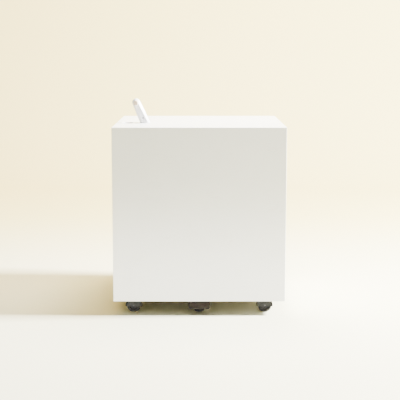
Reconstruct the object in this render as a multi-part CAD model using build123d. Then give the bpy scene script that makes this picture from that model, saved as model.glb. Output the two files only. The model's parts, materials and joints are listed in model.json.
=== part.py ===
"""Mobile display plinth: a mitred white cube on four hooded twin-wheel castors.

A folding T-handle stands on the top board, and a pedal-operated floor lock sits under the middle of
the front edge.  Millimetres, +Z up, the front faces -Y, and the origin is on the floor under the
centre of the case.
"""

import os
from math import cos, radians, sin

from build123d import *

# ---- driving dimensions -----------------------------------------------------------------------
CASE_WIDTH = 450.0            # X, over the side boards
CASE_DEPTH = 450.0            # Y, over the front and back boards
CASE_HEIGHT = 456.0           # from the lower edge of the boards to the display surface
BOARD = 18.0                  # thickness of the five mitred boards
ARRIS = 1.2                   # eased radius on the outer edges of the case
FLOOR_GAP = 38.0              # from the floor to the lower edge of the boards
BASE_THICKNESS = 18.0         # plywood base board
BASE_RECESS = 12.0            # how far the base board sits above the lower edge of the boards
BASE_FIT = 0.3                # gap round the base board
POST = 32.0                   # square section of the corner posts
PRESS = 0.02                  # radial room left in a pressed or screwed hole
PAST = 60.0                   # how far a cutting shape reaches beyond what it cuts

# castors
CASTOR_ROOM_X = 45.0          # from the inside of a side board to the swivel axis
CASTOR_ROOM_Y = 33.0          # from the inside of the front or back board to the swivel axis
CASTOR_TRAIL = 12.0           # from the swivel axis to the axle
WHEEL_DIAMETER = 36.0
WHEEL_WIDTH = 12.0            # one of the two wheels
TYRE_THICKNESS = 4.5          # from the hub's seat to the tread
TYRE_SHOULDER = 2.5
AXLE_DIAMETER = 5.0
RUNNING = 0.06                # radial clearance of everything that turns
WHEEL_SIDE_GAP = 0.5          # on each side of a wheel
HOOD_WEB = 4.0                # wall between the two wheels
HOOD_WALL = 2.5
HOOD_TREAD_GAP = 0.9          # between a tyre and the inside of the hood
HOOD_SKIRT_HEIGHT = 16.0      # lower edge of the hood above the floor
HOOD_EDGE = 3.5               # rounded edge of its cheeks
HOOD_BOSS_DIAMETER = 28.0     # under the swivel race
HOOD_BOSS_HEIGHT = 10.0
HOOD_NECK_DIAMETER = 16.0     # where the boss has tapered into the dome
HOOD_NECK_TAPER = 6.0         # height of the taper
PLATE_SIZE = 44.0             # square swivel plate
PLATE_THICKNESS = 2.5
PLATE_CORNER = 5.0
PLATE_HOLE_SPACING = 32.0
RACE_DIAMETER = 30.0
RACE_HEIGHT = 3.2
RACE_GAP = 0.3                # between the raceway ring and the turning hood
KINGPIN_DIAMETER = 8.0
KINGPIN_BITE = 6.0            # how far the kingpin reaches into the hood
KINGPIN_END_GAP = 0.5         # under its lower end
KINGPIN_HEAD_DIAMETER = 13.0
KINGPIN_HEAD_HEIGHT = 1.6
KINGPIN_HEAD_ROOM = 0.4       # round and over its head, in the base board

# folding T-handle
HANDLE_X = -152.0             # its pivot
HANDLE_Y = -60.0
HANDLE_LEAN = 24.0            # degrees from upright, towards -X, as it stands raised
PIVOT_HEIGHT = 13.5           # above the display surface
LEVER_FOOT_RADIUS = 12.7      # round the pivot
LEVER_TIP_RADIUS = 10.5
LEVER_LENGTH = 56.0           # pivot to tip
LEVER_THICKNESS = 22.0        # along Y
LEVER_CHAMFER = 6.2           # broad facets down both faces
HEEL_BLUNT = 2.0              # taken off the sharp end of the foot
LUG_THICKNESS = 10.0
LUG_RADIUS = 9.0
LUG_SIDE_GAP = 0.3
LUG_TOP_GAP = 2.0             # from the lug to the crown of the fork
HANDLE_PIN_DIAMETER = 6.0
GRIP_DIAMETER = 12.0
GRIP_LENGTH = 58.0
FLANGE_LENGTH = 48.0          # X
FLANGE_WIDTH = 46.0           # Y
FLANGE_THICKNESS = 3.0
FLANGE_CORNER = 6.0
FLANGE_SCREW_X = 18.0         # spacings of the four flange screws
FLANGE_SCREW_Y = 34.0
SCOOP_LENGTH = 30.0           # X, finger recess under the folded grip
SCOOP_WIDTH = 46.0            # Y
SCOOP_DEPTH = 7.0
SCOOP_CORNER = 12.0
SCOOP_COVE = 4.0              # radius between its wall and its floor
SCOOP_OFFSET = 3.5            # from under the folded grip towards the pivot

# floor lock
LOCK_INSET = 51.0             # from the front of the case to the plunger
PAD_DIAMETER = 24.0
PAD_HEIGHT = 8.0
PAD_EDGE = 1.5
PAD_LIFT_OFF = 0.4            # the pad just clears the floor under the unladen case
PLUNGER_DIAMETER = 10.0
PLUNGER_COLLAR = 18.0
COLLAR_HEIGHT = 2.0
STEM_ABOVE_NUT = 2.0
CROSS_PIN_DIAMETER = 5.0
LINK_HEIGHT = 30.0            # cross pin and pedal pivot above the floor
PEDAL_ARM_LENGTH = 19.0       # pivot to plunger
PEDAL_ARM_THICKNESS = 3.0
PEDAL_ARM_DEPTH = 9.0
PEDAL_ARM_SPACING = 17.0      # between the inner faces of the arms
PEDAL_WIDTH = 57.0
TREAD_THICKNESS = 3.0
TREAD_RIM = 2.0               # height of the raised rim
TREAD_RIM_WIDTH = 3.0
TREAD_CORNER = 9.0
TREAD_SLOPE = 26.0            # degrees
TREAD_LENGTH = 35.0
TREAD_SETBACK = 3.0           # from the front of the case to the lip
TREAD_LIP_HEIGHT = 16.0       # underside of the lip above the floor
ARM_UNDER_TREAD = 14.0        # how far the arms run forward under the tread
ARM_TIP_DEPTH = 4.5           # of their front ends
ARM_TIP_SINK = 3.0            # from the tread's back corner down to their front ends
SLOT_PLAY = 0.4               # round the cross pin
SLOT_TRAVEL = 1.4             # along the arm
BRACKET_WIDTH = 62.0
BRACKET_LENGTH = 64.0
BRACKET_AHEAD = 22.0          # from its front edge to the plunger
BRACKET_CORNER = 6.0
BRACKET_SCREW_INSET = 8.0
SHEET = 2.5                   # bracket steel
CHEEK_GAP = 1.2               # between a pedal arm and its cheek
CHEEK_DROP = 27.0
CHEEK_AHEAD = 10.0            # of the pedal pivot
CHEEK_BEHIND = 16.0
CHEEK_CORNER = 8.0
GUIDE_DIAMETER = 16.0
GUIDE_FLANGE = 26.0
GUIDE_FLANGE_THICKNESS = 3.0
GUIDE_REACH = 8.0             # below the base board
SPRING_WIRE = 1.6
SPRING_MEAN = 13.0
SPRING_LENGTH = 26.0
SPRING_TURNS = 6.0
SPRING_ROOM = 0.1             # at each end
RETAINER_DIAMETER = 19.0
RETAINER_THICKNESS = 2.0
NUT_ACROSS = 15.0
NUT_HEIGHT = 5.0

# fasteners
SCREW_DIAMETER = 4.0
PAN_HEAD_DIAMETER = 8.0
PAN_HEAD_HEIGHT = 2.4
COUNTERSINK_DIAMETER = 8.0
COUNTERSINK_DEPTH = 2.2
CASTOR_SCREW_LENGTH = 14.0
LOCK_SCREW_LENGTH = 14.0
HANDLE_SCREW_LENGTH = 12.0
POST_SCREW_LENGTH = 45.0
POST_SCREW_SPACING = 12.0
PIN_CHAMFER = 0.5
GRIP_CHAMFER = 1.0
PIVOT_PIN_PROUD = 1.5         # past each cheek
CROSS_PIN_PROUD = 0.5         # past each arm
AXLE_SHORT = 0.4              # each end of an axle or of the handle's pin below the surface

# ---- levels and places that follow ----------------------------------------------------------------
TOP = FLOOR_GAP + CASE_HEIGHT                     # display surface
INNER_TOP = TOP - BOARD
BASE_UNDER = FLOOR_GAP + BASE_RECESS
BASE_TOP = BASE_UNDER + BASE_THICKNESS
HALF_W, HALF_D = CASE_WIDTH / 2, CASE_DEPTH / 2
INNER_HALF_W, INNER_HALF_D = HALF_W - BOARD, HALF_D - BOARD
AXLE_HEIGHT = WHEEL_DIAMETER / 2
HUB_DIAMETER = WHEEL_DIAMETER - 2 * TYRE_THICKNESS
HOOD_RADIUS = WHEEL_DIAMETER / 2 + HOOD_TREAD_GAP + HOOD_WALL
WHEEL_BAY = WHEEL_WIDTH + 2 * WHEEL_SIDE_GAP
HOOD_WIDTH = HOOD_WEB + 2 * WHEEL_BAY + 2 * HOOD_WALL
PLATE_UNDER = BASE_UNDER - PLATE_THICKNESS
HOOD_TOP = PLATE_UNDER - RACE_HEIGHT - RACE_GAP
LOCK_Y = -HALF_D + LOCK_INSET
PEDAL_PIVOT_Y = LOCK_Y + PEDAL_ARM_LENGTH
PIVOT_Z = TOP + PIVOT_HEIGHT
GRIP_FROM_PIVOT = LEVER_LENGTH - LEVER_TIP_RADIUS
SCOOP_X = HANDLE_X - GRIP_FROM_PIVOT + SCOOP_OFFSET
CHEEK_INNER = PEDAL_ARM_SPACING / 2 + PEDAL_ARM_THICKNESS + CHEEK_GAP
BRACKET_Y = LOCK_Y - BRACKET_AHEAD + BRACKET_LENGTH / 2
CASTORS = {
    "front_left": (-1, -1),
    "front_right": (1, -1),
    "back_left": (-1, 1),
    "back_right": (1, 1),
}

os.makedirs("parts", exist_ok=True)


def save(shape, node):
    export_step(shape, f"parts/{node}.step")


def block(x0, x1, y0, y1, z0, z1):
    """A box between two corners."""
    size = Box(x1 - x0, y1 - y0, z1 - z0)
    return Pos((x0 + x1) / 2, (y0 + y1) / 2, (z0 + z1) / 2) * size


def rod(diameter, start, end):
    """A round bar from one point to another."""
    run = Vector(*end) - Vector(*start)
    return extrude(Plane(origin=start, z_dir=run) * Circle(diameter / 2), run.length)


def ring(outer, inner, start, end):
    return rod(outer, start, end) - rod(inner, start, end)


def pan_screw(x, y, z, length, room=0.0):
    """Head under z, shank upwards.  room widens the shape into the hole that it needs."""
    head = rod(PAN_HEAD_DIAMETER + 2 * room, (x, y, z - PAN_HEAD_HEIGHT), (x, y, z))
    shank = rod(SCREW_DIAMETER + 2 * room, (x, y, z), (x, y, z + length + room))
    return head + shank


def countersunk_screw(x, y, z, length, up=1, room=0.0):
    """Flat head flush with z, driven upwards (up=1) or downwards (up=-1)."""
    frame = Plane(origin=(x, y, z), z_dir=(0, 0, up))
    wide, narrow = COUNTERSINK_DIAMETER / 2 + room, SCREW_DIAMETER / 2 + room
    outline = Polyline(
        (0, 0), (wide, 0), (narrow, COUNTERSINK_DEPTH), (narrow, length + room), (0, length + room),
        close=True,
    )
    return frame * revolve(Plane.XZ * make_face(outline), Axis.Z)


# ---- case ---------------------------------------------------------------------------------------------
def case_boards():
    """The five boards, cut from one shell along their mitres."""
    outer = block(-HALF_W, HALF_W, -HALF_D, HALF_D, FLOOR_GAP, TOP)
    eased = outer.edges().filter_by(Axis.Z) + outer.edges().group_by(Axis.Z)[-1]
    outer = fillet(eased, ARRIS)
    inner = block(-INNER_HALF_W, INNER_HALF_W, -INNER_HALF_D, INNER_HALF_D, FLOOR_GAP - 1, INNER_TOP)
    shell = outer - inner

    def side(nx, ny):
        """The wedge between the mitre planes of one upright board."""
        half_run = HALF_W if ny else HALF_D
        half_off = HALF_D if ny else HALF_W
        inward = half_run - BOARD
        plan = Polyline(
            (-half_run, half_off), (half_run, half_off),
            (inward, half_off - BOARD), (-inward, half_off - BOARD), close=True,
        )
        turn = {(0, 1): 0, (-1, 0): 90, (0, -1): 180, (1, 0): 270}[(nx, ny)]
        return Rot(0, 0, turn) * extrude(make_face(plan), TOP)

    lid = make_face(Plane.XZ * Polyline(
        (-HALF_W, TOP), (HALF_W, TOP), (HALF_W - BOARD, INNER_TOP), (-HALF_W + BOARD, INNER_TOP),
        close=True,
    ))
    lid = extrude(lid, HALF_D, both=True)
    cross = make_face(Plane.YZ * Polyline(
        (-HALF_D, TOP), (HALF_D, TOP), (HALF_D - BOARD, INNER_TOP), (-HALF_D + BOARD, INNER_TOP),
        close=True,
    ))
    lid = lid & extrude(cross, HALF_W, both=True)
    boards = {"top_board": shell & lid}
    for node, way in {
        "front_board": (0, -1), "back_board": (0, 1), "left_board": (-1, 0), "right_board": (1, 0),
    }.items():
        boards[node] = (shell & side(*way)) - lid
    return boards


def finger_scoop():
    """A routed recess under the folded grip, with upright walls and a coved floor."""
    plan = RectangleRounded(SCOOP_LENGTH, SCOOP_WIDTH, SCOOP_CORNER)
    recess = extrude(Pos(SCOOP_X, HANDLE_Y, TOP) * plan, -SCOOP_DEPTH)
    recess = fillet(recess.edges().group_by(Axis.Z)[0], SCOOP_COVE)
    return recess + extrude(Pos(SCOOP_X, HANDLE_Y, TOP) * plan, 1)


def flange(room=0.0):
    """The plate of the handle, let in flush with the display surface."""
    plan = RectangleRounded(FLANGE_LENGTH + 2 * room, FLANGE_WIDTH + 2 * room, FLANGE_CORNER + room)
    return extrude(Pos(HANDLE_X, HANDLE_Y, TOP) * plan, -FLANGE_THICKNESS)


def flange_screws(room=0.0):
    return [
        countersunk_screw(
            HANDLE_X + sx * FLANGE_SCREW_X, HANDLE_Y + sy * FLANGE_SCREW_Y / 2, TOP,
            HANDLE_SCREW_LENGTH, up=-1, room=room,
        )
        for sx in (-1, 1) for sy in (-1, 1)
    ]


def post_places():
    for sx in (-1, 1):
        for sy in (-1, 1):
            yield sx, sy, sx * (INNER_HALF_W - POST / 2), sy * (INNER_HALF_D - POST / 2)


def post_screws(room=0.0):
    """Two up through the base board into each corner post."""
    return [
        countersunk_screw(
            x + k * POST_SCREW_SPACING / 2, y - k * POST_SCREW_SPACING / 2 * sx * sy, BASE_UNDER,
            POST_SCREW_LENGTH, room=room,
        )
        for sx, sy, x, y in post_places() for k in (-1, 1)
    ]


# ---- castors ---------------------------------------------------------------------------------------------
def castor_frame(sx, sy):
    """Where a castor stands, turned so that its wheels trail towards the near side of the case."""
    x = sx * (INNER_HALF_W - CASTOR_ROOM_X)
    y = sy * (INNER_HALF_D - CASTOR_ROOM_Y)
    return Pos(x, y, 0) * Rot(0, 0, 0 if sx > 0 else 180)


def castor_screws(room=0.0):
    half = PLATE_HOLE_SPACING / 2
    return [
        castor_frame(sx, sy) * pan_screw(px * half, py * half, PLATE_UNDER, CASTOR_SCREW_LENGTH, room)
        for sx, sy in CASTORS.values() for px in (-1, 1) for py in (-1, 1)
    ]


def kingpin():
    """Riveted through the plate, with a flat head above it and a plain shank below."""
    head = rod(KINGPIN_HEAD_DIAMETER, (0, 0, BASE_UNDER), (0, 0, BASE_UNDER + KINGPIN_HEAD_HEIGHT))
    shank = rod(KINGPIN_DIAMETER, (0, 0, HOOD_TOP - KINGPIN_BITE), (0, 0, BASE_UNDER))
    return head + shank


def swivel_plate():
    plan = RectangleRounded(PLATE_SIZE, PLATE_SIZE, PLATE_CORNER)
    plate = extrude(Pos(0, 0, PLATE_UNDER) * plan, PLATE_THICKNESS)
    race = rod(RACE_DIAMETER, (0, 0, PLATE_UNDER - RACE_HEIGHT), (0, 0, PLATE_UNDER))
    race = chamfer(race.edges().group_by(Axis.Z)[0], 1)
    return plate + race - rod(KINGPIN_DIAMETER + 2 * PRESS, (0, 0, 0), (0, 0, BASE_UNDER + 1))


def hood():
    """Shroud over both wheels, with a web between them that carries the axle and a boss for the kingpin."""
    half = HOOD_WIDTH / 2
    dome = rod(2 * HOOD_RADIUS, (CASTOR_TRAIL, -half, AXLE_HEIGHT), (CASTOR_TRAIL, half, AXLE_HEIGHT))
    dome = fillet(dome.edges().filter_by(GeomType.CIRCLE), HOOD_EDGE)
    boss_low = HOOD_TOP - HOOD_BOSS_HEIGHT
    neck = Cone(HOOD_NECK_DIAMETER / 2, HOOD_BOSS_DIAMETER / 2, HOOD_NECK_TAPER)
    body = dome + rod(HOOD_BOSS_DIAMETER, (0, 0, boss_low), (0, 0, HOOD_TOP))
    body += Pos(0, 0, boss_low - HOOD_NECK_TAPER / 2) * neck
    body -= block(-PAST, PAST, -PAST, PAST, -PAST, HOOD_SKIRT_HEIGHT)
    bay_radius = WHEEL_DIAMETER / 2 + HOOD_TREAD_GAP
    for side in (-1, 1):
        inner = side * HOOD_WEB / 2
        outer = side * (HOOD_WEB / 2 + WHEEL_BAY)
        body -= rod(
            2 * bay_radius, (CASTOR_TRAIL, inner, AXLE_HEIGHT), (CASTOR_TRAIL, outer, AXLE_HEIGHT)
        )
    socket_floor = HOOD_TOP - KINGPIN_BITE - KINGPIN_END_GAP
    body -= rod(KINGPIN_DIAMETER + 2 * RUNNING, (0, 0, socket_floor), (0, 0, HOOD_TOP + 1))
    body -= rod(
        AXLE_DIAMETER + 2 * PRESS, (CASTOR_TRAIL, -half - 1, AXLE_HEIGHT), (CASTOR_TRAIL, half + 1, AXLE_HEIGHT)
    )
    return body


def axle():
    half = HOOD_WIDTH / 2 - AXLE_SHORT
    bar = rod(AXLE_DIAMETER, (CASTOR_TRAIL, -half, AXLE_HEIGHT), (CASTOR_TRAIL, half, AXLE_HEIGHT))
    return chamfer(bar.edges().filter_by(GeomType.CIRCLE), PIN_CHAMFER)


def wheel_section(side, points):
    """A ring on the axle, from its section: radius and distance outwards from the middle of the wheel."""
    middle = side * (HOOD_WEB / 2 + WHEEL_BAY / 2)
    frame = Plane(origin=(CASTOR_TRAIL, middle, AXLE_HEIGHT), x_dir=(1, 0, 0), z_dir=(0, side, 0))
    turned = revolve(Plane.XZ * make_face(Polyline(*points, close=True)), Axis.Z)
    return frame * turned


def wheel_hub(side):
    """Nylon disc, dished on its outer face, with a boss round the axle."""
    half, seat = WHEEL_WIDTH / 2, HUB_DIAMETER / 2
    bore = AXLE_DIAMETER / 2 + RUNNING
    return wheel_section(side, [
        (bore, -half), (seat, -half), (seat, half), (seat - 2, half), (seat - 3, half - 3),
        (bore + 4, half - 3), (bore + 3, half), (bore, half),
    ])


def tyre(side):
    half, seat, tread = WHEEL_WIDTH / 2, HUB_DIAMETER / 2, WHEEL_DIAMETER / 2
    solid = wheel_section(side, [(seat, -half), (tread, -half), (tread, half), (seat, half)])
    shoulders = [e for e in solid.edges().filter_by(GeomType.CIRCLE) if abs(e.radius - tread) < 0.01]
    return fillet(shoulders, TYRE_SHOULDER)


# ---- folding T-handle ---------------------------------------------------------------------------------------
def lever_profile():
    """Side outline in XZ about the pivot, standing upright.  Its foot is flat on the side that faces down
    when the lever leans, and round about the pivot on the other, so that it can fold."""
    lean = radians(HANDLE_LEAN)
    tip_centre = GRIP_FROM_PIVOT
    taper = (LEVER_FOOT_RADIUS - LEVER_TIP_RADIUS) / tip_centre
    lowest = (-LEVER_FOOT_RADIUS * sin(lean), -LEVER_FOOT_RADIUS * cos(lean))
    # the right side carries on down its taper to the level of the foot
    heel_z = -(LEVER_FOOT_RADIUS + LEVER_FOOT_RADIUS * sin(lean)) / (cos(lean) - taper * sin(lean))
    heel = (LEVER_FOOT_RADIUS - taper * heel_z, heel_z)
    right_top, left_top = (LEVER_TIP_RADIUS, tip_centre), (-LEVER_TIP_RADIUS, tip_centre)
    left_low = (-LEVER_FOOT_RADIUS, 0)
    half_way = lean / 2 - radians(45)
    middle = (-LEVER_FOOT_RADIUS * cos(half_way), LEVER_FOOT_RADIUS * sin(half_way))
    return make_face([
        Line(heel, right_top),
        ThreePointArc(right_top, (0, LEVER_LENGTH), left_top),
        Line(left_top, left_low),
        ThreePointArc(left_low, middle, lowest),
        Line(lowest, heel),
    ])


def at_pivot(shape, lean=HANDLE_LEAN):
    return Pos(HANDLE_X, HANDLE_Y, PIVOT_Z) * Rot(0, -lean, 0) * shape


def handle_lever():
    profile = Plane.XZ * lever_profile()
    lever = extrude(profile, LEVER_THICKNESS / 2, both=True)
    faces = lever.faces().filter_by(Axis.Y)
    lever = chamfer(faces.edges(), LEVER_CHAMFER)
    slot = LUG_THICKNESS / 2 + LUG_SIDE_GAP
    lever -= block(-PAST, PAST, -slot, slot, -PAST, LUG_RADIUS + LUG_TOP_GAP)
    lever -= rod(HANDLE_PIN_DIAMETER + 2 * PRESS, (0, -PAST, 0), (0, PAST, 0))
    lever -= rod(GRIP_DIAMETER + 2 * PRESS, (0, -PAST, GRIP_FROM_PIVOT), (0, PAST, GRIP_FROM_PIVOT))
    lever = at_pivot(lever)
    heel = lever.bounding_box().max.X
    return lever - block(heel - HEEL_BLUNT, heel + 1, HANDLE_Y - PAST, HANDLE_Y + PAST, TOP, PIVOT_Z)


def handle_grip():
    half = GRIP_LENGTH / 2
    dowel = rod(GRIP_DIAMETER, (0, -half, GRIP_FROM_PIVOT), (0, half, GRIP_FROM_PIVOT))
    return at_pivot(chamfer(dowel.edges().filter_by(GeomType.CIRCLE), GRIP_CHAMFER))


def handle_pin():
    half = LEVER_THICKNESS / 2 - AXLE_SHORT
    pin = rod(HANDLE_PIN_DIAMETER, (0, -half, 0), (0, half, 0))
    return at_pivot(chamfer(pin.edges().filter_by(GeomType.CIRCLE), PIN_CHAMFER))


def handle_base():
    """Flush flange with a round-topped lug that the forked lever straddles."""
    half = LUG_THICKNESS / 2
    lug = rod(2 * LUG_RADIUS, (0, -half, 0), (0, half, 0))
    lug += block(-LUG_RADIUS, LUG_RADIUS, -half, half, -PIVOT_HEIGHT, 0)
    base = flange() + at_pivot(lug, lean=0)
    base -= at_pivot(rod(HANDLE_PIN_DIAMETER + 2 * RUNNING, (0, -PAST, 0), (0, PAST, 0)), lean=0)
    for hole in flange_screws(PRESS):
        base -= hole
    return base


# ---- floor lock -------------------------------------------------------------------------------------------
def lock_pad():
    pad = rod(PAD_DIAMETER, (0, LOCK_Y, PAD_LIFT_OFF), (0, LOCK_Y, PAD_LIFT_OFF + PAD_HEIGHT))
    pad = fillet(pad.edges().group_by(Axis.Z)[0], PAD_EDGE)
    socket_floor = PAD_LIFT_OFF + PAD_HEIGHT / 2
    return pad - rod(PLUNGER_DIAMETER + 2 * PRESS, (0, LOCK_Y, socket_floor), (0, LOCK_Y, PAST))


def lock_plunger():
    foot = PAD_LIFT_OFF + PAD_HEIGHT / 2
    nut_top = BASE_TOP + GUIDE_FLANGE_THICKNESS + SPRING_LENGTH + RETAINER_THICKNESS + NUT_HEIGHT
    stem_top = nut_top + STEM_ABOVE_NUT
    stem = rod(PLUNGER_DIAMETER, (0, LOCK_Y, foot), (0, LOCK_Y, stem_top))
    stem = chamfer(stem.edges().group_by(Axis.Z)[-1], 1)
    collar = PAD_LIFT_OFF + PAD_HEIGHT
    stem += rod(PLUNGER_COLLAR, (0, LOCK_Y, collar), (0, LOCK_Y, collar + COLLAR_HEIGHT))
    return stem - rod(CROSS_PIN_DIAMETER + 2 * PRESS, (-PAST, LOCK_Y, LINK_HEIGHT), (PAST, LOCK_Y, LINK_HEIGHT))


def lock_guide():
    """Flanged bush down through the base board."""
    top = BASE_TOP + GUIDE_FLANGE_THICKNESS
    bush = rod(GUIDE_DIAMETER, (0, LOCK_Y, BASE_UNDER - GUIDE_REACH), (0, LOCK_Y, top))
    bush += rod(GUIDE_FLANGE, (0, LOCK_Y, BASE_TOP), (0, LOCK_Y, top))
    return bush - rod(PLUNGER_DIAMETER + 2 * RUNNING, (0, LOCK_Y, 0), (0, LOCK_Y, top + 1))


def lock_spring():
    start = BASE_TOP + GUIDE_FLANGE_THICKNESS + SPRING_WIRE / 2 + SPRING_ROOM
    rise = SPRING_LENGTH - SPRING_WIRE - 2 * SPRING_ROOM
    path = Helix(rise / SPRING_TURNS, rise, SPRING_MEAN / 2, center=(0, LOCK_Y, start))
    section = Plane(origin=path @ 0, z_dir=path % 0) * Circle(SPRING_WIRE / 2)
    return sweep(section, path, is_frenet=True)


def spring_retainer():
    """Washer and hexagon nut at the top of the plunger, in one piece."""
    low = BASE_TOP + GUIDE_FLANGE_THICKNESS + SPRING_LENGTH
    washer = rod(RETAINER_DIAMETER, (0, LOCK_Y, low), (0, LOCK_Y, low + RETAINER_THICKNESS))
    nut = extrude(
        Pos(0, LOCK_Y, low + RETAINER_THICKNESS) * RegularPolygon(NUT_ACROSS / 2, 6, major_radius=False),
        NUT_HEIGHT,
    )
    return washer + nut - rod(PLUNGER_DIAMETER + 2 * PRESS, (0, LOCK_Y, low - 1), (0, LOCK_Y, low + PAST))


def bracket_screws(room=0.0):
    half_x, half_y = BRACKET_WIDTH / 2 - BRACKET_SCREW_INSET, BRACKET_LENGTH / 2 - BRACKET_SCREW_INSET
    return [
        pan_screw(sx * half_x, BRACKET_Y + sy * half_y, BASE_UNDER - SHEET, LOCK_SCREW_LENGTH, room)
        for sx in (-1, 1) for sy in (-1, 1)
    ]


def lock_bracket():
    """Folded steel channel under the base board; its cheeks hold the pedal pivot."""
    plan = RectangleRounded(BRACKET_WIDTH, BRACKET_LENGTH, BRACKET_CORNER)
    plate = extrude(Pos(0, BRACKET_Y, BASE_UNDER) * plan, -SHEET)
    bracket = plate - rod(GUIDE_DIAMETER + 2 * PRESS, (0, LOCK_Y, 0), (0, LOCK_Y, BASE_TOP))
    low = BASE_UNDER - CHEEK_DROP
    for side in (-1, 1):
        near, far = side * CHEEK_INNER, side * (CHEEK_INNER + SHEET)
        cheek = block(
            min(near, far), max(near, far), PEDAL_PIVOT_Y - CHEEK_AHEAD, PEDAL_PIVOT_Y + CHEEK_BEHIND,
            low, BASE_UNDER - SHEET,
        )
        cheek = fillet(cheek.edges().filter_by(Axis.X).group_by(Axis.Z)[0], CHEEK_CORNER)
        bracket += cheek
    bracket -= rod(
        CROSS_PIN_DIAMETER + 2 * PRESS,
        (-PAST, PEDAL_PIVOT_Y, LINK_HEIGHT), (PAST, PEDAL_PIVOT_Y, LINK_HEIGHT),
    )
    for hole in bracket_screws(PRESS):
        bracket -= hole
    return bracket


def pivot_pin():
    reach = CHEEK_INNER + SHEET + PIVOT_PIN_PROUD
    pin = rod(CROSS_PIN_DIAMETER, (-reach, PEDAL_PIVOT_Y, LINK_HEIGHT), (reach, PEDAL_PIVOT_Y, LINK_HEIGHT))
    return chamfer(pin.edges().filter_by(GeomType.CIRCLE), PIN_CHAMFER)


def cross_pin():
    reach = PEDAL_ARM_SPACING / 2 + PEDAL_ARM_THICKNESS + CROSS_PIN_PROUD
    pin = rod(CROSS_PIN_DIAMETER, (-reach, LOCK_Y, LINK_HEIGHT), (reach, LOCK_Y, LINK_HEIGHT))
    return chamfer(pin.edges().filter_by(GeomType.CIRCLE), PIN_CHAMFER)


def tread_plane():
    """On the underside of the lip, with its x axis along X and its y axis up the slope."""
    slope = radians(TREAD_SLOPE)
    origin = (0, -HALF_D + TREAD_SETBACK, TREAD_LIP_HEIGHT)
    return Plane(origin=origin, x_dir=(1, 0, 0), z_dir=(0, -sin(slope), cos(slope)))


def lock_pedal():
    """A rimmed tread on two arms that pass either side of the plunger."""
    half, corner = PEDAL_WIDTH / 2, TREAD_CORNER
    frame = tread_plane()

    def outline(inset):
        w, r = half - inset, corner - inset
        diagonal = r * (1 - cos(radians(45)))
        return make_face([
            Line((-w, TREAD_LENGTH), (-w, inset + r)),
            ThreePointArc((-w, inset + r), (-w + diagonal, inset + diagonal), (-w + r, inset)),
            Line((-w + r, inset), (w - r, inset)),
            ThreePointArc((w - r, inset), (w - diagonal, inset + diagonal), (w, inset + r)),
            Line((w, inset + r), (w, TREAD_LENGTH)),
            Line((w, TREAD_LENGTH), (-w, TREAD_LENGTH)),
        ])

    tread = extrude(frame * outline(0), TREAD_THICKNESS + TREAD_RIM)
    hollow = Pos(0, 0, TREAD_THICKNESS) * extrude(outline(TREAD_RIM_WIDTH), PAST)
    # the hollow of the rim runs out at the back of the tread
    hollow += block(
        -half + TREAD_RIM_WIDTH, half - TREAD_RIM_WIDTH, TREAD_CORNER, TREAD_LENGTH + PAST,
        TREAD_THICKNESS, TREAD_THICKNESS + PAST,
    )
    tread -= frame * hollow
    slope = radians(TREAD_SLOPE)
    back_y = -HALF_D + TREAD_SETBACK + TREAD_LENGTH * cos(slope)
    back_z = TREAD_LIP_HEIGHT + TREAD_LENGTH * sin(slope)
    pedal = tread
    for side in (-1, 1):
        near = side * PEDAL_ARM_SPACING / 2
        far = near + side * PEDAL_ARM_THICKNESS
        top, low = LINK_HEIGHT + PEDAL_ARM_DEPTH / 2, LINK_HEIGHT - PEDAL_ARM_DEPTH / 2
        shape = make_face(Plane.YZ * Polyline(
            (PEDAL_PIVOT_Y, top), (back_y - 1, top), (back_y - ARM_UNDER_TREAD, back_z - ARM_TIP_SINK),
            (back_y - ARM_UNDER_TREAD + 2, back_z - ARM_TIP_SINK - ARM_TIP_DEPTH), (back_y + 4, low),
            (PEDAL_PIVOT_Y, low), close=True,
        ))
        arm = Pos(min(near, far), 0, 0) * extrude(shape, PEDAL_ARM_THICKNESS)
        arm += rod(
            PEDAL_ARM_DEPTH, (min(near, far), PEDAL_PIVOT_Y, LINK_HEIGHT),
            (max(near, far), PEDAL_PIVOT_Y, LINK_HEIGHT),
        )
        pedal += arm
    pedal -= rod(
        CROSS_PIN_DIAMETER + 2 * RUNNING,
        (-PAST, PEDAL_PIVOT_Y, LINK_HEIGHT), (PAST, PEDAL_PIVOT_Y, LINK_HEIGHT),
    )
    slot_radius = CROSS_PIN_DIAMETER / 2 + SLOT_PLAY
    slot = Plane.YZ * SlotCenterToCenter(SLOT_TRAVEL, 2 * slot_radius)
    pedal -= Pos(-PAST, LOCK_Y, LINK_HEIGHT) * extrude(slot, 2 * PAST)
    return pedal


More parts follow.
